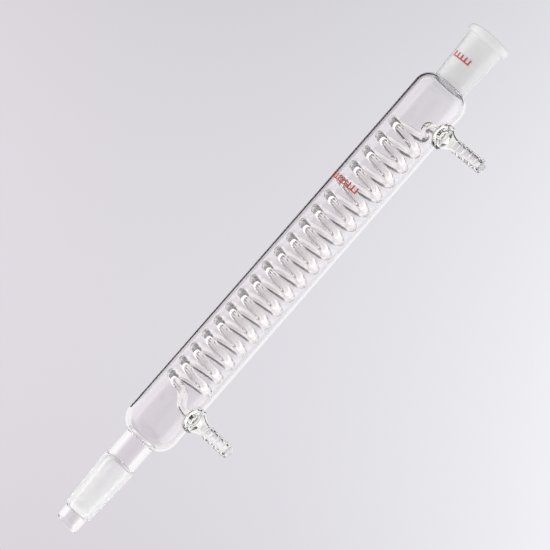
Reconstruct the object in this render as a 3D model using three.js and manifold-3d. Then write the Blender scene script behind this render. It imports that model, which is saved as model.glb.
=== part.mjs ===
// Coil condenser for a chemistry bench, about 422 mm long, blown from borosilicate glass.
// Vapour rises through the jacket, cooling water runs through the coil inside it.
// Millimetres. +Z runs up the glass from the cone to the socket, both hose barbs point along +X,
// and the origin is on the axis, at the large end of the ground cone.
import * as THREE from "three";
import { mergeVertices } from "three/addons/utils/BufferGeometryUtils.js";
import Module from "manifold-3d";

const wasm = await Module();
wasm.setup();

// ---- Driving dimensions -------------------------------------------------------------------

const DEGREE = Math.PI / 180;
const ROUND_SIDES = 40; // sides of the large turned glass
const BARB_SIDES = 20; // sides of the hose barbs and ring seals
const TUBE_SIDES = 8; // sides of the coil tube, outside
const BORE_SIDES = 6; // sides of the coil tube, inside
const GAP = 0.3; // clearance where one piece is cut to fit round another

// Standard 24/40 taper: 24 mm at the large end, 40 mm long, one in ten.
const TAPER = { large: 12, small: 10, length: 40 };

// Jacket: a wide tube with a rounded shoulder at each end.
const JACKET = { radius: 19.7, wall: 1.4 };
const LOWER_SHOULDER = { arc: 13.5, start: 21.6 }; // start is the height where the neck joins
const UPPER_SHOULDER = { arc: 11, centre: 318.4 };

// Neck and drip tip, above and below the ground cone.
const NECK = { radius: 10.7, bore: 8.7, bottom: 2 };
const TIP = { radius: 8.5, bore: 6.7, top: -41.5, bottom: -51.1, slant: Math.tan(7.5 * DEGREE) };

// Socket at the top, with a fire-polished bead round its mouth.
const SOCKET = { footRadius: 12.2, bodyRadius: 13.8, beadRadius: 15.9, top: 370.3, beadHeight: 6.5 };

// Coil: a left-handed helix of 6.6 mm tube, wound a little wider apart at the top.
const TUBE = { radius: 3.3, bore: 2.7 };
const COIL = {
  radius: 12.75,
  zeroAngle: 207 * DEGREE,
  zeroHeight: 287.3,
  pitch: 13,
  tightening: 0.0454, // how much closer each turn lies than the one above it, halved
};
const COIL_TURNS = { first: -0.367, last: 18.2 }; // in turns down from the zero angle
const COIL_STEPS_PER_TURN = 10;

// Ring seals, where the coil's ends pass through the jacket, and the barbs on them.
const SEAL = { inner: 15, neckStart: 15.8, neckRadius: 5.6, tubeRadius: 4.6, bore: 3 };
const UPPER_PORT = { height: 300.1, flare: 9.2, sealEnd: 32.5, barbEnd: 56.8 };
const LOWER_PORT = { height: 55, flare: 9.2, sealEnd: 32, barbEnd: 54.4 };
const BARB = { crest: 5, valley: 4.4, teeth: 4, pitch: 5.2, lip: 3.8 };

// Leads: how far each one runs straight on from the coil, and straight into its seal.
const UPPER_LEAD = { fromCoil: 8, intoSeal: 16, steps: 16 };
const LOWER_LEAD = { fromCoil: 10, intoSeal: 14, steps: 16 };

// Fired-on enamel marks: a plain scale of ticks, on the jacket and on the socket.
const ENAMEL = { lift: 0.08, thickness: 0.12, baseline: 0.8 };
const SCALE_CELL = { width: 1.05, tickEvery: 3 };
const JACKET_MARK = { angle: 259 * DEGREE, height: 233.6, tall: 4.4, cells: 25 };
const SOCKET_MARK = { angle: 269 * DEGREE, height: 344.8, tall: 3.9, cells: 13 };

// ---- Materials ----------------------------------------------------------------------------

const glass = (color, roughness, opacity) =>
  new THREE.MeshStandardMaterial({ color, roughness, metalness: 0, opacity, transparent: true });
const clearGlass = () => glass(0xf2f4f5, 0.05, 0.3);
const groundGlass = () => glass(0xf7f7f8, 0.55, 0.85);
const sealGlass = () => glass(0xe9ecdf, 0.08, 0.45);
const redEnamel = () => new THREE.MeshStandardMaterial({ color: 0xb43a34, roughness: 0.45, metalness: 0 });

// ---- Tools --------------------------------------------------------------------------------

// Points along an arc in a profile: centre, radius, and the angles it runs between.
function arc(centre, radius, from, to, steps) {
  return Array.from({ length: steps + 1 }, (_, i) => {
    const angle = from + ((to - from) * i) / steps;
    return [centre[0] + radius * Math.cos(angle), centre[1] + radius * Math.sin(angle)];
  });
}

// A closed profile of [radius, height] points, anticlockwise, turned about Z.
function turned(profile, sides) {
  const points = profile.map(([r, h]) => new THREE.Vector2(r, h));
  points.push(points[0].clone());
  return new THREE.LatheGeometry(points, sides).rotateX(Math.PI / 2);
}

// The same, turned about X at a given height.
function turnedAboutX(profile, sides, height) {
  return turned(profile, sides).rotateY(Math.PI / 2).translate(0, 0, height);
}

function ring(radius, sides) {
  return Array.from({ length: sides }, (_, i) => {
    const angle = (i * 2 * Math.PI) / sides;
    return new THREE.Vector2(radius * Math.cos(angle), radius * Math.sin(angle));
  });
}

// An open-ended tube along a curve.
function tubeAlong(path, steps) {
  const section = new THREE.Shape(ring(TUBE.radius, TUBE_SIDES));
  section.holes.push(new THREE.Path(ring(TUBE.bore, BORE_SIDES)));
  return new THREE.ExtrudeGeometry(section, { steps, extrudePath: path, bevelEnabled: false });
}

function solid(geometry) {
  const bare = geometry.clone().deleteAttribute("normal").deleteAttribute("uv");
  const merged = mergeVertices(bare, 1e-4);
  return new wasm.Manifold(
    new wasm.Mesh({
      numProp: 3,
      vertProperties: merged.attributes.position.array,
      triVerts: new Uint32Array(merged.index.array),
    }),
  );
}

function geometryOf(body) {
  const { vertProperties, triVerts } = body.getMesh();
  return new THREE.BufferGeometry()
    .setAttribute("position", new THREE.BufferAttribute(vertProperties, 3))
    .setIndex(new THREE.BufferAttribute(triVerts, 1))
    .toNonIndexed();
}

function piece(name, geometry, material) {
  if (!geometry.getAttribute("normal")) geometry.computeVertexNormals();
  const mesh = new THREE.Mesh(geometry, material);
  mesh.name = name;
  return mesh;
}

// ---- Jacket -------------------------------------------------------------------------------

// Height on an arc where it is a given distance from the axis, above (+1) or below (-1) its centre.
function arcHeight(centre, radius, at, side) {
  return centre[1] + side * Math.sqrt(radius ** 2 - (at - centre[0]) ** 2);
}
// The same place as an angle on the arc.
const arcAngle = (centre, radius, at, side) => side * Math.acos((at - centre[0]) / radius);

const lowerCentre = [JACKET.radius - LOWER_SHOULDER.arc, 0];
lowerCentre[1] = LOWER_SHOULDER.start - arcHeight(lowerCentre, LOWER_SHOULDER.arc, NECK.radius, -1);
const upperCentre = [JACKET.radius - UPPER_SHOULDER.arc, UPPER_SHOULDER.centre];
const socketFoot = arcHeight(upperCentre, UPPER_SHOULDER.arc, SOCKET.footRadius, 1);

function jacketProfile() {
  const [lowerOuter, upperOuter] = [LOWER_SHOULDER.arc, UPPER_SHOULDER.arc];
  const [lowerInner, upperInner] = [lowerOuter - JACKET.wall, upperOuter - JACKET.wall];
  return [
    [NECK.bore, LOWER_SHOULDER.start],
    ...arc(lowerCentre, lowerOuter, arcAngle(lowerCentre, lowerOuter, NECK.radius, -1), 0, 7),
    ...arc(upperCentre, upperOuter, 0, arcAngle(upperCentre, upperOuter, SOCKET.footRadius, 1), 6),
    [TAPER.small, socketFoot],
    ...arc(upperCentre, upperInner, arcAngle(upperCentre, upperInner, TAPER.small, 1), 0, 5),
    ...arc(lowerCentre, lowerInner, 0, arcAngle(lowerCentre, lowerInner, NECK.bore, -1), 6),
  ];
}

// A round bar along Z, used as a cutter.
function bar(radius, from, to, sides) {
  const points = [[0, from], [radius, from], [radius, to], [0, to]].map(([r, h]) => new THREE.Vector2(r, h));
  return new THREE.LatheGeometry(points, sides).rotateX(Math.PI / 2);
}

function outerJacket() {
  const [from, to] = [SEAL.inner / 2, JACKET.radius + 5];
  const hole = (port) => {
    const cutter = bar(SEAL.neckRadius + GAP, from, to, BARB_SIDES);
    return solid(cutter.rotateY(Math.PI / 2).translate(0, 0, port.height));
  };
  const body = solid(turned(jacketProfile(), ROUND_SIDES));
  return geometryOf(body.subtract(hole(UPPER_PORT)).subtract(hole(LOWER_PORT)));
}

// ---- Socket, neck, cone and drip tip ------------------------------------------------------

function upperJointSocket() {
  const mouth = SOCKET.top - 0.6; // the gauge plane of the ground bore
  const beadFoot = SOCKET.top - SOCKET.beadHeight;
  const upperRound = [SOCKET.beadRadius - 2, SOCKET.top - 2];
  const lowerRound = [SOCKET.beadRadius - 2, beadFoot + 2];
  return turned(
    [
      [TAPER.small, socketFoot],
      [SOCKET.footRadius, socketFoot],
      [SOCKET.bodyRadius, beadFoot - 0.6],
      ...arc(lowerRound, 2, -75 * DEGREE, 0, 3),
      ...arc(upperRound, 2, 0, 90 * DEGREE, 4),
      [TAPER.large + 0.9, SOCKET.top],
      [TAPER.large, mouth],
      [TAPER.small, mouth - TAPER.length],
    ],
    ROUND_SIDES,
  );
}

function lowerNeckTube() {
  const { radius, bore, bottom } = NECK;
  const top = LOWER_SHOULDER.start;
  return turned([[bore, bottom], [radius, bottom], [radius, top], [bore, top]], ROUND_SIDES);
}

function lowerJointCone() {
  const wall = 1.9;
  return turned(
    [
      [TIP.bore, TIP.top],
      [TIP.radius, TIP.top],
      [TAPER.small - 0.35, -TAPER.length - 0.7],
      [TAPER.small, -TAPER.length],
      [TAPER.large, 0],
      ...arc([NECK.radius, 0.4], NECK.bottom - 0.4, 30 * DEGREE, 90 * DEGREE, 3),
      [NECK.bore, NECK.bottom],
      [TAPER.large - wall - 0.3, -2.5],
      [TAPER.small - wall, -TAPER.length + 1.5],
    ],
    ROUND_SIDES,
  );
}

// The tip's lower end is ground off at a slant, so that drops gather on its long side (+X).
function dripTip() {
  const { radius, bore, top, bottom, slant } = TIP;
  const geometry = turned([[bore, bottom], [radius, bottom], [radius, top], [bore, top]], ROUND_SIDES);
  const position = geometry.getAttribute("position");
  for (let i = 0; i < position.count; i++) {
    if (position.getZ(i) < (top + bottom) / 2) position.setZ(i, bottom - slant * position.getX(i));
  }
  return geometry;
}

// ---- Coil and its leads -------------------------------------------------------------------

const coilAngle = (turn) => COIL.zeroAngle + turn * 2 * Math.PI;
const coilHeight = (turn) => COIL.zeroHeight - COIL.pitch * turn + COIL.tightening * turn ** 2;

function coilPoint(turn) {
  const angle = coilAngle(turn);
  return new THREE.Vector3(COIL.radius * Math.cos(angle), COIL.radius * Math.sin(angle), coilHeight(turn));
}

// The way the coil's centre line runs downwards at a given turn.
function coilDirection(turn) {
  const angle = coilAngle(turn);
  const fall = (COIL.pitch - 2 * COIL.tightening * turn) / (2 * Math.PI);
  const direction = new THREE.Vector3(-COIL.radius * Math.sin(angle), COIL.radius * Math.cos(angle), -fall);
  return direction.normalize();
}

class CoilLine extends THREE.Curve {
  getPoint(t) {
    return coilPoint(COIL_TURNS.first + t * (COIL_TURNS.last - COIL_TURNS.first));
  }
}

function coolingCoil() {
  const steps = Math.round((COIL_TURNS.last - COIL_TURNS.first) * COIL_STEPS_PER_TURN);
  return tubeAlong(new CoilLine(), steps);
}

// A lead leaves the coil's end in the coil's own direction and enters its ring seal along +X.
function coilLead(port, lead, turn, away) {
  const direction = coilDirection(turn).multiplyScalar(away);
  const start = coilPoint(turn).addScaledVector(direction, GAP);
  const end = new THREE.Vector3(SEAL.inner - GAP, 0, port.height);
  const afterStart = start.clone().addScaledVector(direction, lead.fromCoil);
  const beforeEnd = end.clone().setX(end.x - lead.intoSeal);
  return tubeAlong(new THREE.CubicBezierCurve3(start, afterStart, beforeEnd, end), lead.steps);
}

// ---- Ring seals and hose barbs ------------------------------------------------------------

// A thick collar cut to sit on the jacket, drawn out to the barb's tube, with a neck through the wall.
function ringSeal(port) {
  const { inner, neckStart, neckRadius, tubeRadius, bore } = SEAL;
  const outer = port.sealEnd;
  const saddle = JACKET.radius + GAP;
  const round = outer - JACKET.radius; // how far the collar sweeps down to the tube
  const sweep = arc([tubeRadius + round, outer], round, -90 * DEGREE, -180 * DEGREE, 5).filter(
    ([r]) => r < port.flare,
  );
  const rim = [[port.flare - 0.9, inner], [port.flare, saddle + 0.9]];
  const collar = [[bore, inner], ...rim, ...sweep, [bore, outer]];
  const reach = 2 * port.flare;
  const jacketCore = solid(bar(saddle, port.height - reach, port.height + reach, 2 * ROUND_SIDES));
  const neck = [
    [TUBE.bore, inner],
    [TUBE.radius, inner],
    [neckRadius - 0.8, neckStart],
    [neckRadius, neckStart + 1],
    [neckRadius, saddle + 1],
    [bore, saddle + 1],
  ];
  const outside = solid(turnedAboutX(collar, BARB_SIDES, port.height)).subtract(jacketCore);
  return geometryOf(outside.add(solid(turnedAboutX(neck, BARB_SIDES, port.height))));
}

// A plain tube, then teeth that are steep towards the jacket and slope down to the open end.
function hoseBarb(port) {
  const { crest, valley, teeth, pitch, lip } = BARB;
  const toothed = port.barbEnd - teeth * pitch;
  const rows = Array.from({ length: teeth }, (_, i) => {
    const foot = toothed + i * pitch;
    const tooth = [[valley, foot], [crest, foot + 0.5], [crest - 0.15, foot + 1.1]];
    const nextValley = [valley, foot + pitch - 0.01];
    return i < teeth - 1 ? [...tooth, nextValley] : tooth;
  }).flat();
  const profile = [
    [SEAL.bore, port.sealEnd],
    [SEAL.tubeRadius, port.sealEnd],
    [SEAL.tubeRadius, toothed - 1],
    ...rows,
    [valley, port.barbEnd - 0.6],
    [lip, port.barbEnd],
    [SEAL.bore, port.barbEnd],
  ];
  return turnedAboutX(profile, BARB_SIDES, port.height);
}

// ---- Enamel marks -------------------------------------------------------------------------

const socketRadiusAt = (height) => {
  const top = SOCKET.top - SOCKET.beadHeight - 0.6;
  const part = (height - socketFoot) / (top - socketFoot);
  return SOCKET.footRadius + part * (SOCKET.bodyRadius - SOCKET.footRadius);
};

// A baseline with a tick on every third cell, bent to the glass: one connected print. It is laid
// out on a grid of cells, and each cell gives only the faces that no neighbour covers.
function enamelScale(mark, radiusAt) {
  const heights = [0, ENAMEL.baseline, mark.tall];
  const step = SCALE_CELL.width / radiusAt(mark.height);
  const filled = (i, j) => {
    if (i < 0 || i >= mark.cells) return false;
    return j === 0 || (j === 1 && i % SCALE_CELL.tickEvery === 0);
  };
  const corner = (i, j, k) => {
    const angle = mark.angle + (i - mark.cells / 2) * step;
    const height = mark.height + heights[j];
    const radius = radiusAt(height) + ENAMEL.lift + k * ENAMEL.thickness;
    return [radius * Math.cos(angle), radius * Math.sin(angle), height];
  };
  const positions = [];
  const face = (...corners) => {
    const [a, b, c, d] = corners.map((ijk) => corner(...ijk));
    positions.push(...a, ...b, ...c, ...a, ...c, ...d);
  };
  for (let i = 0; i < mark.cells; i++) {
    for (let j = 0; j < 2; j++) {
      if (!filled(i, j)) continue;
      const [u, v] = [i + 1, j + 1];
      face([i, j, 1], [u, j, 1], [u, v, 1], [i, v, 1]);
      face([i, j, 0], [i, v, 0], [u, v, 0], [u, j, 0]);
      if (!filled(i - 1, j)) face([i, j, 0], [i, j, 1], [i, v, 1], [i, v, 0]);
      if (!filled(u, j)) face([u, j, 1], [u, j, 0], [u, v, 0], [u, v, 1]);
      if (!filled(i, j - 1)) face([i, j, 0], [u, j, 0], [u, j, 1], [i, j, 1]);
      if (!filled(i, v)) face([i, v, 1], [u, v, 1], [u, v, 0], [i, v, 0]);
    }
  }
  return new THREE.BufferGeometry().setAttribute("position", new THREE.Float32BufferAttribute(positions, 3));
}

// ---- Assembly -----------------------------------------------------------------------------

const condenser = new THREE.Group();
condenser.name = "coil_condenser";
condenser.add(
  piece("outer_jacket", outerJacket(), clearGlass()),
  piece("upper_joint_socket", upperJointSocket(), groundGlass()),
  piece("lower_neck_tube", lowerNeckTube(), clearGlass()),
  piece("lower_joint_cone", lowerJointCone(), groundGlass()),
  piece("drip_tip", dripTip(), clearGlass()),
  piece("cooling_coil", coolingCoil(), clearGlass()),
  piece("coil_upper_lead", coilLead(UPPER_PORT, UPPER_LEAD, COIL_TURNS.first, -1), clearGlass()),
  piece("coil_lower_lead", coilLead(LOWER_PORT, LOWER_LEAD, COIL_TURNS.last, 1), clearGlass()),
  piece("upper_ring_seal", ringSeal(UPPER_PORT), sealGlass()),
  piece("lower_ring_seal", ringSeal(LOWER_PORT), sealGlass()),
  piece("upper_hose_barb", hoseBarb(UPPER_PORT), clearGlass()),
  piece("lower_hose_barb", hoseBarb(LOWER_PORT), clearGlass()),
  piece("socket_enamel_mark", enamelScale(SOCKET_MARK, socketRadiusAt), redEnamel()),
  piece("jacket_enamel_mark", enamelScale(JACKET_MARK, () => JACKET.radius), redEnamel()),
);

export default condenser;
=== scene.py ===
import math

import bmesh
import bpy
from mathutils import Matrix, Vector


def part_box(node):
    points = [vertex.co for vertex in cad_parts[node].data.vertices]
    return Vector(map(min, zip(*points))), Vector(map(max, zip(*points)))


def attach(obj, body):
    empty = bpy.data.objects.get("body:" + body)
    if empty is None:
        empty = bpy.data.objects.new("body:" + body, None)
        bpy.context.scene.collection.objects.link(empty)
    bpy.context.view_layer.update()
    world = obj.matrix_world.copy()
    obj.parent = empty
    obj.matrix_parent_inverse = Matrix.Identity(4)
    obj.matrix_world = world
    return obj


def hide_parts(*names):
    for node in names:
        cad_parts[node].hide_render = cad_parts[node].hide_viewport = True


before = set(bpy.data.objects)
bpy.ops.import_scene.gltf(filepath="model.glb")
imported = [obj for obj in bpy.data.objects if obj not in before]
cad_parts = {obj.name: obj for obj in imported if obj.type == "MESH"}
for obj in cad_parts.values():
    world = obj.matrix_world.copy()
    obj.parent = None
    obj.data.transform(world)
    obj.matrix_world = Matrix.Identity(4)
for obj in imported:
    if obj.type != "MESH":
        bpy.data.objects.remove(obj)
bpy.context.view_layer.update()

# A coil condenser of borosilicate glass. Lengths are in millimetres up to make_object(), and the
# studio at the end is in metres.
MM = 0.001


# ---- Sizes, from the frame ------------------------------------------------------------------

def low(node, axis):
    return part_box(node)[0][axis] / MM


def high(node, axis):
    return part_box(node)[1][axis] / MM


def middle(node, axis):
    return (low(node, axis) + high(node, axis)) / 2


X, Y, Z = 0, 1, 2
JACKET_RADIUS = high("outer_jacket", X)
JACKET_WALL = 1.3
SHOULDER_FOOT = low("outer_jacket", Z)
SOCKET_FOOT = low("upper_joint_socket", Z)
SOCKET_TOP = high("upper_joint_socket", Z)
NECK_RADIUS = high("lower_neck_tube", X)
NECK_BORE = 8.7
CONE_TOP = high("lower_joint_cone", Z)
CONE_FOOT = low("lower_joint_cone", Z)
TIP_RADIUS = high("drip_tip", X)
TIP_BORE = 6.7
TIP_END = -51.1
TIP_SLANT = math.tan(math.radians(7.5))

TAPER_LARGE, TAPER_SMALL, TAPER_LENGTH = 12.0, 10.0, 40.0
LOWER_ARC, UPPER_ARC = 13.5, 11.0
UPPER_ARC_CENTRE = 318.4
SOCKET_FOOT_RADIUS, SOCKET_BODY_RADIUS = 12.2, 13.8
BEAD_RADIUS, BEAD_HEIGHT = high("upper_joint_socket", X), 6.5

TUBE_RADIUS, TUBE_BORE = 3.3, 2.7
COIL_RADIUS = 12.75
COIL_ZERO_ANGLE = math.radians(207)
COIL_ZERO_HEIGHT, COIL_PITCH, COIL_TIGHTENING = 287.3, 13.0, 0.0454
COIL_FIRST, COIL_LAST = -0.367, 18.2

UPPER_PORT, LOWER_PORT = middle("upper_hose_barb", Z), middle("lower_hose_barb", Z)
SEAL_INNER, SEAL_NECK, SEAL_TUBE, SEAL_BORE = low("upper_ring_seal", X), 5.6, 4.6, 3.0
SEAL_FLARE = (high("upper_ring_seal", Z) - low("upper_ring_seal", Z)) / 2
UPPER_SEAL_END, LOWER_SEAL_END = high("upper_ring_seal", X), high("lower_ring_seal", X)
UPPER_END, LOWER_END = high("upper_hose_barb", X), high("lower_hose_barb", X)
CREST, VALLEY, TEETH, TOOTH_PITCH = high("upper_hose_barb", Y), 4.4, 4, 5.2

SEAM = 0.02  # gap left between two pieces of glass that are fused on the real object
SAME = 0.01  # two lengths nearer than this are the same
SHARP_DEGREES = 32
TURNED_SIDES, JACKET_SIDES, PORT_SIDES, TUBE_SIDES = 160, 192, 96, 28
COIL_STEPS_PER_TURN, LEAD_STEPS, FLARE_STEPS = 48, 48, 22

GLASS_IOR = 1.474
GROUND_IOR = 1.1  # a rough face with glass's own index goes dark when it is seen from inside the glass


# ---- Mesh tools -----------------------------------------------------------------------------

def make_object(name, vertices, faces, materials):
    mesh = bpy.data.meshes.new(name)
    mesh.from_pydata([Vector(v) * MM for v in vertices], [], faces)
    mesh.validate()
    mesh.polygons.foreach_set("use_smooth", [True] * len(mesh.polygons))
    obj = bpy.data.objects.new(name, mesh)
    bpy.context.collection.objects.link(obj)
    for material in materials:
        mesh.materials.append(material)
    tidy = bmesh.new()
    tidy.from_mesh(mesh)
    bmesh.ops.recalc_face_normals(tidy, faces=tidy.faces)
    tidy.to_mesh(mesh)
    tidy.free()
    mesh.set_sharp_from_angle(angle=math.radians(SHARP_DEGREES))
    return obj


def arc(centre, radius, start, end, steps):
    """Profile points on an arc, angles in degrees."""
    points = []
    for i in range(steps + 1):
        angle = math.radians(start + (end - start) * i / steps)
        points.append((centre[0] + radius * math.cos(angle), centre[1] + radius * math.sin(angle)))
    return points


def grid_faces(rings, sides):
    """Quads between closed rings of points, the last ring joined to the first."""
    faces = []
    for i in range(rings):
        here, there = i * sides, (i + 1) % rings * sides
        for j in range(sides):
            k = (j + 1) % sides
            faces.append((here + j, here + k, there + k, there + j))
    return faces


def near(value, *others):
    return any(abs(value - other) < SAME for other in others)


def paint_zones(obj, profile, sides, zone):
    """zone gives the material index for the middle of each stretch of the profile."""
    for i in range(len(profile)):
        here, there = profile[i], profile[(i + 1) % len(profile)]
        index = zone(*((a + b) / 2 for a, b in zip(here, there)))
        for j in range(sides):
            obj.data.polygons[i * sides + j].material_index = index


def turned(name, profile, materials, zone, sides=TURNED_SIDES, slant=0.0, slant_below=None):
    """A closed profile of (radius, height) points turned about Z. Points under slant_below are moved
    down by slant times their X, which cuts the end at a slant."""
    vertices = []
    for radius, height in profile:
        for j in range(sides):
            angle = 2 * math.pi * j / sides
            x, y = radius * math.cos(angle), radius * math.sin(angle)
            drop = slant * x if slant_below is not None and height < slant_below else 0.0
            vertices.append((x, y, height - drop))
    obj = make_object(name, vertices, grid_faces(len(profile), sides), materials)
    paint_zones(obj, profile, sides, zone)
    return obj


def turned_on_port(name, profile, port, materials, zone=None):
    """A closed profile of (radius, reach, saddle) points turned about a port's axis, along +X.
    saddle is how far a point follows the curve of the jacket, from 0 to 1."""
    vertices = []
    for radius, reach, saddle in profile:
        for j in range(PORT_SIDES):
            angle = 2 * math.pi * j / PORT_SIDES
            y, z = radius * math.cos(angle), radius * math.sin(angle)
            fall = JACKET_RADIUS - math.sqrt(JACKET_RADIUS ** 2 - y ** 2)
            vertices.append((reach - saddle * fall, y, port + z))
    obj = make_object(name, vertices, grid_faces(len(profile), PORT_SIDES), materials)
    if zone:
        paint_zones(obj, profile, PORT_SIDES, zone)
    return obj


def tube_along(name, line, materials):
    """An open tube along a list of points, its section kept square to the line without twist.
    Its two end faces take the second material."""
    count, sides = len(line), TUBE_SIDES
    tangents = []
    for i in range(count):
        before, after = line[max(i - 1, 0)], line[min(i + 1, count - 1)]
        tangents.append((after - before).normalized())
    side = tangents[0].orthogonal().normalized()
    outer, inner = [], []
    for point, tangent in zip(line, tangents):
        side = (side - tangent * side.dot(tangent)).normalized()
        up = tangent.cross(side)
        for ring, radius in ((outer, TUBE_RADIUS), (inner, TUBE_BORE)):
            for j in range(sides):
                angle = 2 * math.pi * j / sides
                ring.append(point + (side * math.cos(angle) + up * math.sin(angle)) * radius)
    # The bore runs back along the tube, and each of its rings runs backwards too.
    vertices = outer + inner[::-1]
    tube = make_object(name, vertices, grid_faces(2 * count, sides), materials)
    for end in (count - 1, 2 * count - 1):
        for j in range(sides):
            tube.data.polygons[end * sides + j].material_index = 1
    return tube


# ---- Materials ------------------------------------------------------------------------------

def new_material(name):
    material = bpy.data.materials.new(name)
    material.use_nodes = True
    nodes, links = material.node_tree.nodes, material.node_tree.links
    return material, nodes, links, nodes["Principled BSDF"]


def node(nodes, kind, **inputs):
    made = nodes.new(kind)
    for name, value in inputs.items():
        made.inputs[name.replace("_", " ")].default_value = value
    return made


def noise(nodes, links, scale, detail, stretch=(1, 1, 1)):
    """Noise in object space, in metres; scale is in cycles per metre."""
    where = nodes.new("ShaderNodeTexCoord")
    mapping = node(nodes, "ShaderNodeMapping", Scale=stretch)
    texture = node(nodes, "ShaderNodeTexNoise", Scale=scale, Detail=detail, Roughness=0.55)
    links.new(where.outputs["Object"], mapping.inputs["Vector"])
    links.new(mapping.outputs["Vector"], texture.inputs["Vector"])
    return texture.outputs["Fac"]


def colour_between(nodes, links, factor, first, second, low=0.3, high=0.7):
    ramp = nodes.new("ShaderNodeValToRGB")
    ramp.color_ramp.elements[0].position, ramp.color_ramp.elements[1].position = low, high
    ramp.color_ramp.elements[0].color = (*first, 1)
    ramp.color_ramp.elements[1].color = (*second, 1)
    links.new(factor, ramp.inputs["Fac"])
    return ramp.outputs["Color"]


def number_between(nodes, links, factor, first, second):
    ranged = node(nodes, "ShaderNodeMapRange", To_Min=first, To_Max=second)
    links.new(factor, ranged.inputs["Value"])
    return ranged.outputs["Result"]


def bump(nodes, links, height, strength, distance):
    made = node(nodes, "ShaderNodeBump", Strength=strength, Distance=distance)
    links.new(height, made.inputs["Height"])
    return made.outputs["Normal"]


def clear_glass(name, tint, ripple, stretch, ior=GLASS_IOR):
    """Clear borosilicate: drawn tube carries faint streaks along its length, worked glass faint waves."""
    material, nodes, links, shader = new_material(name)
    shader.inputs["Transmission Weight"].default_value = 1.0
    shader.inputs["IOR"].default_value = ior
    shader.inputs["Roughness"].default_value = 0.0
    streaks = noise(nodes, links, 90, 2.0, stretch)
    paler = tuple(min(1.0, c + 0.012) for c in tint)
    links.new(colour_between(nodes, links, streaks, tint, paler), shader.inputs["Base Color"])
    links.new(bump(nodes, links, streaks, ripple, 0.0002), shader.inputs["Normal"])
    return material


def ground_glass(name, clear, rough, ior=GROUND_IOR):
    """A surface ground with fine grit: white, and only partly clear."""
    material, nodes, links, shader = new_material(name)
    shader.inputs["Transmission Weight"].default_value = clear
    shader.inputs["IOR"].default_value = ior
    grit = noise(nodes, links, 3500, 4.0)
    rings = noise(nodes, links, 220, 3.0, (0.15, 0.15, 3.0))
    white = colour_between(nodes, links, rings, (0.96, 0.955, 0.96), (0.995, 0.99, 0.995))
    links.new(white, shader.inputs["Base Color"])
    links.new(number_between(nodes, links, rings, *rough), shader.inputs["Roughness"])
    links.new(bump(nodes, links, grit, 0.25, 0.00005), shader.inputs["Normal"])
    return material


def enamel(name):
    """Fired red enamel: satin, a little uneven, thinner in places."""
    material, nodes, links, shader = new_material(name)
    mottle = noise(nodes, links, 1400, 3.0)
    red = colour_between(nodes, links, mottle, (0.42, 0.035, 0.02), (0.62, 0.07, 0.04))
    links.new(red, shader.inputs["Base Color"])
    links.new(number_between(nodes, links, mottle, 0.3, 0.5), shader.inputs["Roughness"])
    links.new(bump(nodes, links, mottle, 0.3, 0.00003), shader.inputs["Normal"])
    return material


JACKET_GLASS = clear_glass("jacket_glass", (0.952, 0.935, 0.944), 0.06, (1, 1, 0.06))
COIL_GLASS = clear_glass("coil_glass", (0.98, 0.972, 0.97), 0.04, (1, 1, 1))
BARB_GLASS = clear_glass("barb_glass", (0.965, 0.958, 0.96), 0.04, (0.2, 1, 1))
SEAL_GLASS = clear_glass("seal_glass", (0.965, 0.965, 0.935), 0.04, (1.5, 1.5, 1.5))
GROUND_GLASS = ground_glass("ground_glass", 0.45, (0.4, 0.55))
GROUND_BORE = ground_glass("ground_bore", 0.3, (0.52, 0.7))
# The socket's wall magnifies its ground bore to its full width, so the wall looks milky itself.
MILKY_WALL = ground_glass("milky_wall", 0.5, (0.12, 0.2), GLASS_IOR)
# Faces on both sides of a seam, which light crosses without bending, as in fused glass.
FUSED = clear_glass("fused_face", (0.985, 0.985, 0.985), 0.0, (1, 1, 1), 1.0)
RED_ENAMEL = enamel("red_enamel")


def finish_piece(piece, slot, *nodes):
    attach(piece, "root")
    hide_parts(*nodes)


# ---- Jacket ---------------------------------------------------------------------------------

# The lower shoulder's arc starts from the neck's surface, at the jacket's foot.
lower_rise = math.sqrt(LOWER_ARC ** 2 - (NECK_RADIUS - JACKET_RADIUS + LOWER_ARC) ** 2)
lower_centre = (JACKET_RADIUS - LOWER_ARC, SHOULDER_FOOT + lower_rise)
upper_centre = (JACKET_RADIUS - UPPER_ARC, UPPER_ARC_CENTRE)


def angle_at(centre, radius, x, side):
    """Where an arc is x from the object's axis, in degrees, above (side 1) or below (-1) its centre."""
    return side * math.degrees(math.acos((x - centre[0]) / radius))


def cut_hole(jacket, port):
    """A round hole through the jacket's wall for a ring seal's neck."""
    ring = [(SEAL_NECK + SEAM, reach, 0) for reach in (JACKET_RADIUS - 6, JACKET_RADIUS + 4)]
    cutter = turned_on_port("cutter", ring, port, [FUSED])
    caps = bmesh.new()
    caps.from_mesh(cutter.data)
    # The profile has two points, so its second half is the same wall again, and goes.
    bmesh.ops.delete(caps, geom=[f for f in caps.faces if f.index >= PORT_SIDES], context="FACES_ONLY")
    bmesh.ops.holes_fill(caps, edges=[e for e in caps.edges if e.is_boundary])
    bmesh.ops.recalc_face_normals(caps, faces=caps.faces)
    caps.to_mesh(cutter.data)
    caps.free()
    modifier = jacket.modifiers.new("hole", "BOOLEAN")
    modifier.operation, modifier.solver, modifier.object = "DIFFERENCE", "EXACT", cutter
    graph = bpy.context.evaluated_depsgraph_get()
    baked = bpy.data.meshes.new_from_object(jacket.evaluated_get(graph))
    jacket.modifiers.clear()
    jacket.data = baked
    baked.set_sharp_from_angle(angle=math.radians(SHARP_DEGREES))
    bpy.data.objects.remove(cutter)


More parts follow.
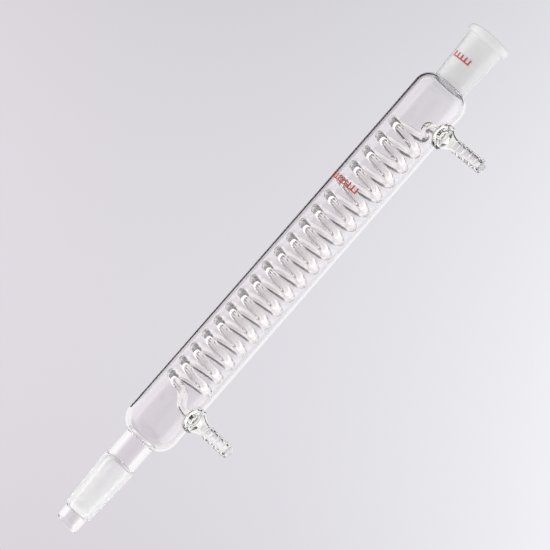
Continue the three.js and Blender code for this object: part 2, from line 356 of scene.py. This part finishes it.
def make_jacket():
    lower_in, upper_in = LOWER_ARC - JACKET_WALL, UPPER_ARC - JACKET_WALL
    port_bands = []
    for port in (LOWER_PORT, UPPER_PORT):
        port_bands += [port + step for step in range(-12, 13, 2)]
    outer_wall = [(JACKET_RADIUS, z) for z in port_bands]
    inner_wall = [(JACKET_RADIUS - JACKET_WALL, z) for z in reversed(port_bands)]
    profile = (
        [(NECK_BORE, SHOULDER_FOOT), (NECK_RADIUS, SHOULDER_FOOT)]
        + [(NECK_RADIUS + 0.15, SHOULDER_FOOT + 0.35), (NECK_RADIUS + 0.6, SHOULDER_FOOT + 0.75)]
        + arc(lower_centre, LOWER_ARC, angle_at(lower_centre, LOWER_ARC, NECK_RADIUS + 1.4, -1), 0, 28)
        + outer_wall
        + arc(upper_centre, UPPER_ARC, 0, angle_at(upper_centre, UPPER_ARC, SOCKET_FOOT_RADIUS, 1), 24)
        + [(TAPER_SMALL, SOCKET_FOOT)]
        + arc(upper_centre, upper_in, angle_at(upper_centre, upper_in, TAPER_SMALL, 1), 0, 22)
        + inner_wall
        + arc(lower_centre, lower_in, 0, angle_at(lower_centre, lower_in, NECK_BORE + 1.9, -1), 26)
        + [(NECK_BORE + 1.0, SHOULDER_FOOT + 1.55), (NECK_BORE + 0.4, SHOULDER_FOOT + 1.0)]
        + [(NECK_BORE + 0.1, SHOULDER_FOOT + 0.45)]
    )
    jacket = turned(
        "glass_jacket", profile, [JACKET_GLASS, FUSED],
        zone=lambda radius, height: int(near(height, SHOULDER_FOOT, SOCKET_FOOT)), sides=JACKET_SIDES,
    )
    for port in (UPPER_PORT, LOWER_PORT):
        cut_hole(jacket, port)
    finish_piece(jacket, "jacket_glass", "outer_jacket")


# ---- Socket, neck, cone and drip tip --------------------------------------------------------

def make_socket():
    mouth = SOCKET_TOP - 0.6  # where the ground bore starts
    bead_foot = SOCKET_TOP - BEAD_HEIGHT
    bead_arc = 2.4
    foot = SOCKET_FOOT + SEAM
    profile = (
        [(TAPER_SMALL, foot), (SOCKET_FOOT_RADIUS, foot), (SOCKET_BODY_RADIUS - 0.15, bead_foot - 2.0)]
        + [(SOCKET_BODY_RADIUS, bead_foot - 0.7), (SOCKET_BODY_RADIUS + 0.35, bead_foot - 0.1)]
        + arc((BEAD_RADIUS - bead_arc, bead_foot + 2.6), bead_arc, -65, 0, 14)
        + arc((BEAD_RADIUS - bead_arc, SOCKET_TOP - bead_arc), bead_arc, 0, 90, 16)
        + [(TAPER_LARGE + 0.7, SOCKET_TOP - 0.05), (TAPER_LARGE + 0.2, mouth + 0.3), (TAPER_LARGE, mouth)]
        + [(TAPER_SMALL, mouth - TAPER_LENGTH)]
    )

    def zone(radius, height):
        if near(height, foot):
            return 2
        return int(radius < TAPER_LARGE + 0.05 and height > foot + 0.6)

    socket = turned("ground_socket", profile, [MILKY_WALL, GROUND_BORE, FUSED], zone)
    finish_piece(socket, "ground_glass", "upper_joint_socket")


def make_neck():
    bottom, top = CONE_TOP + SEAM, SHOULDER_FOOT - SEAM
    profile = [(NECK_BORE, bottom), (NECK_RADIUS, bottom), (NECK_RADIUS, top), (NECK_BORE, top)]
    neck = turned(
        "neck_tube", profile, [JACKET_GLASS, FUSED],
        zone=lambda radius, height: int(near(height, bottom, top)),
    )
    finish_piece(neck, "jacket_glass", "lower_neck_tube")


def make_cone():
    wall = 1.9
    profile = (
        [(TIP_BORE, CONE_FOOT), (TIP_RADIUS, CONE_FOOT), (TIP_RADIUS + 0.5, -TAPER_LENGTH - 1.1)]
        + [(TAPER_SMALL - 0.2, -TAPER_LENGTH - 0.5), (TAPER_SMALL, -TAPER_LENGTH), (TAPER_LARGE, 0)]
        + arc((NECK_RADIUS, 0.4), CONE_TOP - 0.4, 30, 90, 12)
        + [(NECK_BORE, CONE_TOP), (NECK_BORE + 0.3, 0.8), (TAPER_LARGE - wall - 0.3, -2.5)]
        + [(TAPER_SMALL - wall, -TAPER_LENGTH + 1.5)]
    )

    def zone(radius, height):
        if near(height, CONE_FOOT, CONE_TOP):
            return 2
        return int(radius > TAPER_SMALL - 0.1 and -TAPER_LENGTH < height < 1.0)

    cone = turned("ground_cone", profile, [JACKET_GLASS, GROUND_GLASS, FUSED], zone)
    finish_piece(cone, "ground_glass", "lower_joint_cone")


def make_tip():
    top = CONE_FOOT - SEAM
    profile = [(TIP_BORE, TIP_END), (TIP_RADIUS, TIP_END), (TIP_RADIUS, top), (TIP_BORE, top)]
    tip = turned(
        "drip_tip_tube", profile, [JACKET_GLASS, FUSED],
        zone=lambda radius, height: int(near(height, top)), slant=TIP_SLANT, slant_below=TIP_END + 1,
    )
    finish_piece(tip, "jacket_glass", "drip_tip")


# ---- Coil and leads -------------------------------------------------------------------------

def coil_point(turn):
    angle = COIL_ZERO_ANGLE + turn * 2 * math.pi
    height = COIL_ZERO_HEIGHT - COIL_PITCH * turn + COIL_TIGHTENING * turn ** 2
    return Vector((COIL_RADIUS * math.cos(angle), COIL_RADIUS * math.sin(angle), height))


def coil_direction(turn):
    return (coil_point(turn + 0.001) - coil_point(turn - 0.001)).normalized()


def make_coil():
    steps = round((COIL_LAST - COIL_FIRST) * COIL_STEPS_PER_TURN)
    line = [coil_point(COIL_FIRST + (COIL_LAST - COIL_FIRST) * i / steps) for i in range(steps + 1)]
    coil = tube_along("glass_coil", line, [COIL_GLASS, FUSED])
    finish_piece(coil, "coil_glass", "cooling_coil")


def make_lead(name, node, port, turn, away, from_coil, into_seal):
    """A tube on a Bezier curve, leaving the coil's end along the coil and meeting the seal square.
    away is 1 or -1 for on or back along the coil, and the last two are the lengths of the handles."""
    direction = coil_direction(turn) * away
    start = coil_point(turn) + direction * SEAM
    end = Vector((SEAL_INNER - SEAM, 0, port))
    controls = [start, start + direction * from_coil, end - Vector((into_seal, 0, 0)), end]
    line = []
    for i in range(LEAD_STEPS + 1):
        t = i / LEAD_STEPS
        weights = [(1 - t) ** 3, 3 * t * (1 - t) ** 2, 3 * t * t * (1 - t), t ** 3]
        line.append(sum((c * w for c, w in zip(controls, weights)), Vector()))
    lead = tube_along(name, line, [COIL_GLASS, FUSED])
    finish_piece(lead, "coil_glass", node)


# ---- Ring seals and barbs -------------------------------------------------------------------

def make_seal(name, node, port, end):
    saddle = JACKET_RADIUS + 0.05
    sweep = end - JACKET_RADIUS  # radius of the curve that draws the collar out to the tube
    start = end - math.sqrt(sweep ** 2 - (sweep + SEAL_TUBE - SEAL_FLARE) ** 2)

    def flared(reach):
        return SEAL_TUBE + sweep - math.sqrt(sweep ** 2 - (end - reach) ** 2)

    profile = (
        [(TUBE_BORE, SEAL_INNER, 0), (TUBE_RADIUS, SEAL_INNER, 0), (TUBE_RADIUS + 0.3, SEAL_INNER + 0.9, 0)]
        + [(SEAL_NECK - 1.2, SEAL_INNER + 1.7, 0.2), (SEAL_NECK - 0.3, SEAL_INNER + 2.4, 0.6)]
        + [(SEAL_NECK, SEAL_INNER + 3.2, 1), (SEAL_NECK, saddle, 1), (SEAL_FLARE - 0.6, saddle, 1)]
        + [(SEAL_FLARE - 0.15, saddle + 0.25, 1), (SEAL_FLARE, saddle + 0.6, 1)]
    )
    wall, widest_bore = 1.2, 6.6
    outside, inside = [], []
    for i in range(FLARE_STEPS + 1):
        t = i / FLARE_STEPS
        reach = start + (end - start) * t
        outside.append((flared(reach), reach, (1 - t) ** 2))
        inside.append((max(SEAL_BORE, min(flared(reach) - wall, widest_bore)), reach, 0))
    profile += outside + [(SEAL_BORE, end, 0)] + inside[-2:2:-1]
    # The far end of the room behind the wall, where the coil's lead opens into it.
    profile += [(6.0, JACKET_RADIUS + 1.9, 0), (5.0, JACKET_RADIUS + 1.3, 0), (3.6, JACKET_RADIUS + 1.1, 0)]
    profile += [(TUBE_BORE + 0.2, JACKET_RADIUS + 0.8, 0), (TUBE_BORE, JACKET_RADIUS + 0.2, 0)]

    def zone(radius, reach, follows):
        in_hole = near(radius, SEAL_NECK) and near(follows, 1) and reach < saddle
        return int(near(reach, SEAL_INNER, end) or in_hole)

    seal = turned_on_port(name, profile, port, [SEAL_GLASS, FUSED], zone)
    finish_piece(seal, "seal_glass", node)


def make_barb(name, node, port, seal_end, end):
    toothed = end - TEETH * TOOTH_PITCH
    profile = [(SEAL_BORE, seal_end + SEAM), (SEAL_TUBE, seal_end + SEAM), (SEAL_TUBE, toothed - 0.9)]
    profile.append((SEAL_TUBE - 0.08, toothed - 0.35))
    crest = CREST - 0.02
    for i in range(TEETH):
        foot = toothed + i * TOOTH_PITCH
        # A steep face towards the jacket and a long slope towards the end, so that hose slides on.
        profile += [(VALLEY, foot), (crest - 0.25, foot + 0.3), (crest - 0.05, foot + 0.6)]
        profile += [(crest, foot + 0.95), (crest - 0.06, foot + 1.5), (VALLEY + 0.28, foot + 3.2)]
        profile.append((VALLEY + 0.04, foot + TOOTH_PITCH - 0.5))
    profile += [(VALLEY - 0.12, end - 0.8), (VALLEY - 0.35, end - 0.3), (3.75, end - 0.04), (3.4, end)]
    profile += [(SEAL_BORE + 0.1, end - 0.1), (SEAL_BORE, end - 0.4)]
    barb = turned_on_port(
        name, [(r, s, 0) for r, s in profile], port, [BARB_GLASS, FUSED],
        zone=lambda radius, reach, follows: int(near(reach, seal_end + SEAM)),
    )
    finish_piece(barb, "barb_glass", node)


# ---- Enamel marks ---------------------------------------------------------------------------

def enamel_on(node):
    """The marks stay the CAD's own objects, with better enamel."""
    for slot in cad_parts[node].material_slots:
        slot.material = RED_ENAMEL


make_jacket()
make_socket()
make_neck()
make_cone()
make_tip()
make_coil()
make_lead("coil_lead_top", "coil_upper_lead", UPPER_PORT, COIL_FIRST, -1, 8, 16)
make_lead("coil_lead_foot", "coil_lower_lead", LOWER_PORT, COIL_LAST, 1, 10, 14)
make_seal("ring_seal_top", "upper_ring_seal", UPPER_PORT, UPPER_SEAL_END)
make_seal("ring_seal_foot", "lower_ring_seal", LOWER_PORT, LOWER_SEAL_END)
make_barb("hose_barb_top", "upper_hose_barb", UPPER_PORT, UPPER_SEAL_END, UPPER_END)
make_barb("hose_barb_foot", "lower_hose_barb", LOWER_PORT, LOWER_SEAL_END, LOWER_END)
enamel_on("socket_enamel_mark")
enamel_on("jacket_enamel_mark")


# ---- Studio ---------------------------------------------------------------------------------

VIEW_AZIMUTH = math.radians(27)
ROLL = math.radians(41.15)
CAMERA_DISTANCE = 1.5
FIELD_WIDTH = 0.3595  # at the object
AIM_ACROSS, AIM_HEIGHT = -0.0044, 0.1606
SENSOR_WIDTH = 36

right = Vector((math.cos(VIEW_AZIMUTH), math.sin(VIEW_AZIMUTH), 0))
forward = Vector((-math.sin(VIEW_AZIMUTH), math.cos(VIEW_AZIMUTH), 0))
upright = Vector((0, 0, 1))
image_up = math.cos(ROLL) * upright - math.sin(ROLL) * right
image_right = math.sin(ROLL) * upright + math.cos(ROLL) * right


def make_camera():
    data = bpy.data.cameras.new("camera")
    data.sensor_width = SENSOR_WIDTH
    data.lens = SENSOR_WIDTH * CAMERA_DISTANCE / FIELD_WIDTH
    data.clip_start, data.clip_end = 0.05, 50
    camera = bpy.data.objects.new("camera", data)
    bpy.context.collection.objects.link(camera)
    aim = AIM_ACROSS * right + AIM_HEIGHT * upright
    camera.matrix_world = Matrix.Translation(aim - CAMERA_DISTANCE * forward) @ Matrix(
        (image_right, image_up, -forward)
    ).transposed().to_4x4()
    bpy.context.scene.camera = camera


class Formula:
    """Writes sums and products as math nodes."""

    def __init__(self, tree):
        self.nodes, self.links = tree.nodes, tree.links

    def plug(self, socket, value):
        if isinstance(value, bpy.types.NodeSocket):
            self.links.new(value, socket)
        else:
            socket.default_value = value

    def math(self, operation, *values, clamp=False):
        node = self.nodes.new("ShaderNodeMath")
        node.operation = operation
        node.use_clamp = clamp
        for socket, value in zip(node.inputs, values):
            self.plug(socket, value)
        return node.outputs[0]

    def dot(self, vector, constant):
        node = self.nodes.new("ShaderNodeVectorMath")
        node.operation = "DOT_PRODUCT"
        self.plug(node.inputs[0], vector)
        node.inputs[1].default_value = constant
        return node.outputs["Value"]

    def ramp(self, value, start, end, low=0.0, high=1.0):
        """A smooth step from low at start to high at end."""
        node = self.nodes.new("ShaderNodeMapRange")
        node.interpolation_type = "SMOOTHSTEP"
        for socket, number in zip(node.inputs[:5], (value, start, end, low, high)):
            self.plug(socket, number)
        return node.outputs[0]

    def mix(self, factor, first, second):
        node = self.nodes.new("ShaderNodeMix")
        node.data_type = "RGBA"
        self.plug(node.inputs["Factor"], factor)
        self.plug(node.inputs["A"], first)
        self.plug(node.inputs["B"], second)
        return node.outputs["Result"]


# Panels round the object, seen by the glass but not by the camera. Their places are in degrees to the
# right of the picture's line of sight and above it, from and to, in the upright frame or in the tilted
# frame of the picture. Then come the widths of the soft edges, and the brightness. What is in front of
# the camera is repeated behind it for light that has passed through glass, so that the object can be
# looked at from any side.
PANELS = (
    ("below", "tilted", (-80, 80), (-80, -10), (10, 3), 0.98),
    ("left_glow", "tilted", (-80, -11), (-60, 60), (3, 2), 0.98),
    ("right_glow", "tilted", (11, 80), (-60, 16), (3, 2), 0.98),
    ("dark_ceiling", "upright", (-80, 60), (30, 65), (10, 1.5), 0.02),
    ("left_softbox", "upright", (-90, -65), (-40, 40), (8, 10), 1.7),
    ("right_softbox", "upright", (68, 90), (-35, 40), (8, 8), 1.7),
)
ROOM_REFLECTED = 0.16  # the dim room behind the camera, as the front of the glass reflects it
ROOM_LIGHT = 0.8  # the light from the camera's side on surfaces that scatter it
SCATTER_GAIN = 1.3  # how much brighter the studio is for them
ROOM_STARTS, ROOM_ENDS = -0.35, -0.6  # cosine from the line of sight over which the room takes over

# The pale sweep behind the object, over the picture: x and y run from -1 to 1, and the light is the
# base and these weights times x, y, x squared, x times y, and y squared.
SWEEP_BASE = 0.745
SWEEP_WEIGHTS = (0.055, -0.035, 0.055, -0.038, -0.038)
SWEEP_EDGE = 1.2  # x and y go no further than this
SWEEP_TINT_LEFT, SWEEP_TINT_RIGHT = (1.0, 0.955, 1.02, 1), (0.985, 0.985, 1.03, 1)
NEAREST_DISTANCE = 0.2  # keeps x and y finite at right angles to the line of sight

# The black card's corners: how far to the left of the object's axis, and how high.
CARD_DEPTH = 0.30
CARD_CORNERS = (
    (0.132, -0.002), (0.60, -0.002), (0.60, 0.80), (0.06, 0.80), (0.098, 0.37), (0.122, 0.32),
)

FLOOR_HEIGHT, FLOOR_RADIUS, FLOOR_SIDES = -0.22, 0.5, 96
FLOOR_FADE = 0.55  # share of the radius at which it starts to fade out


def grey(value):
    return (value, value, value, 1)


def make_world():
    world = bpy.data.worlds.new("studio")
    world.use_nodes = True
    f = Formula(world.node_tree)
    direction = f.nodes.new("ShaderNodeTexCoord").outputs["Generated"]
    ahead = f.dot(direction, forward)
    distance = f.math("ABSOLUTE", ahead)

    half_field = FIELD_WIDTH / 2 / CAMERA_DISTANCE
    safe_distance = f.math("MULTIPLY", f.math("MAXIMUM", distance, NEAREST_DISTANCE), half_field)

    def across_picture(side):
        value = f.math("DIVIDE", f.dot(direction, side), safe_distance)
        return f.math("MAXIMUM", f.math("MINIMUM", value, SWEEP_EDGE), -SWEEP_EDGE)

    x, y = across_picture(image_right), across_picture(image_up)
    squares = [f.math("MULTIPLY", first, second) for first, second in ((x, x), (x, y), (y, y))]
    light = SWEEP_BASE
    for term, weight in zip([x, y] + squares, SWEEP_WEIGHTS):
        light = f.math("MULTIPLY_ADD", term, weight, light)
    tint = f.mix(f.ramp(x, -SWEEP_EDGE, SWEEP_EDGE), SWEEP_TINT_LEFT, SWEEP_TINT_RIGHT)
    scale = f.nodes.new("ShaderNodeVectorMath")
    scale.operation = "SCALE"
    f.plug(scale.inputs[0], tint)
    f.plug(scale.inputs["Scale"], light)
    sweep = scale.outputs[0]

    def degrees(side, height):
        sideways = f.math("ARCTAN2", f.dot(direction, side), distance)
        upwards = f.math("ARCSINE", f.dot(direction, height))
        return [f.math("MULTIPLY", angle, 180 / math.pi) for angle in (sideways, upwards)]

    frames = {"upright": degrees(right, upright), "tilted": degrees(image_right, image_up)}
    seen = sweep
    for name, kind, (left, rightmost), (bottom, top), (soft_x, soft_y), value in PANELS:
        sideways, upwards = frames[kind]
        mask = f.ramp(sideways, left - soft_x, left + soft_x)
        mask = f.math("MULTIPLY", mask, f.ramp(sideways, rightmost - soft_x, rightmost + soft_x, 1.0, 0.0))
        mask = f.math("MULTIPLY", mask, f.ramp(upwards, bottom - soft_y, bottom + soft_y))
        mask = f.math("MULTIPLY", mask, f.ramp(upwards, top - soft_y, top + soft_y, 1.0, 0.0))
        mask.node.label = name
        seen = f.mix(mask, seen, grey(value))
    ray = f.nodes.new("ShaderNodeLightPath").outputs
    room = f.mix(ray["Is Glossy Ray"], grey(ROOM_LIGHT), grey(ROOM_REFLECTED))
    behind_camera = f.ramp(ahead, ROOM_STARTS, ROOM_ENDS)
    in_room = f.math("MULTIPLY", behind_camera, f.math("SUBTRACT", 1.0, ray["Is Transmission Ray"]))
    seen = f.mix(in_room, seen, room)
    gain = f.math("MULTIPLY_ADD", ray["Is Diffuse Ray"], SCATTER_GAIN - 1, 1.0)
    background = f.nodes["Background"]
    f.plug(background.inputs["Color"], f.mix(ray["Is Camera Ray"], seen, sweep))
    f.plug(background.inputs["Strength"], gain)
    bpy.context.scene.world = world


def flat_object(name, corners):
    mesh = bpy.data.meshes.new(name)
    mesh.from_pydata(corners, [], [tuple(range(len(corners)))])
    flat = bpy.data.objects.new(name, mesh)
    bpy.context.collection.objects.link(flat)
    return flat


def make_black_card():
    """A black card to the left of the jacket and behind it, out of the camera's sight, for a dark edge."""
    corners = [forward * CARD_DEPTH - right * left + upright * z for left, z in CARD_CORNERS]
    card = flat_object("black_card", corners)
    material, nodes, links, shader = new_material("black_card")
    shader.inputs["Base Color"].default_value = (0.01, 0.01, 0.01, 1)
    shader.inputs["Roughness"].default_value = 0.9
    card.data.materials.append(material)
    card.visible_camera = card.visible_diffuse = card.visible_shadow = False


def make_floor():
    """A round pale floor, well below the object and fading out at its edge."""
    turns = [2 * math.pi * i / FLOOR_SIDES for i in range(FLOOR_SIDES)]
    rim = [(FLOOR_RADIUS * math.cos(t), FLOOR_RADIUS * math.sin(t), FLOOR_HEIGHT) for t in turns]
    floor = flat_object("floor", rim)
    material, nodes, links, shader = new_material("pale_floor")
    cloud = noise(nodes, links, 6, 3.0)
    pale = colour_between(nodes, links, cloud, (0.78, 0.765, 0.79), (0.82, 0.805, 0.83))
    links.new(pale, shader.inputs["Base Color"])
    shader.inputs["Roughness"].default_value = 0.7
    where = nodes.new("ShaderNodeTexCoord")
    length = nodes.new("ShaderNodeVectorMath")
    length.operation = "DISTANCE"
    length.inputs[1].default_value = (0, 0, FLOOR_HEIGHT)
    links.new(where.outputs["Object"], length.inputs[0])
    fade = node(nodes, "ShaderNodeMapRange", From_Min=FLOOR_RADIUS * FLOOR_FADE, From_Max=FLOOR_RADIUS,
                To_Min=1.0, To_Max=0.0)
    fade.interpolation_type = "SMOOTHSTEP"
    links.new(length.outputs["Value"], fade.inputs["Value"])
    links.new(fade.outputs["Result"], shader.inputs["Alpha"])
    floor.data.materials.append(material)
    floor.visible_transmission = floor.visible_glossy = floor.visible_diffuse = False


make_camera()
make_world()
make_black_card()
make_floor()

scene = bpy.context.scene
scene.view_settings.view_transform = "Standard"
scene.cycles.max_bounces = 32
scene.cycles.transmission_bounces = 32
scene.cycles.glossy_bounces = 8
scene.cycles.diffuse_bounces = 4
scene.cycles.use_denoising = True
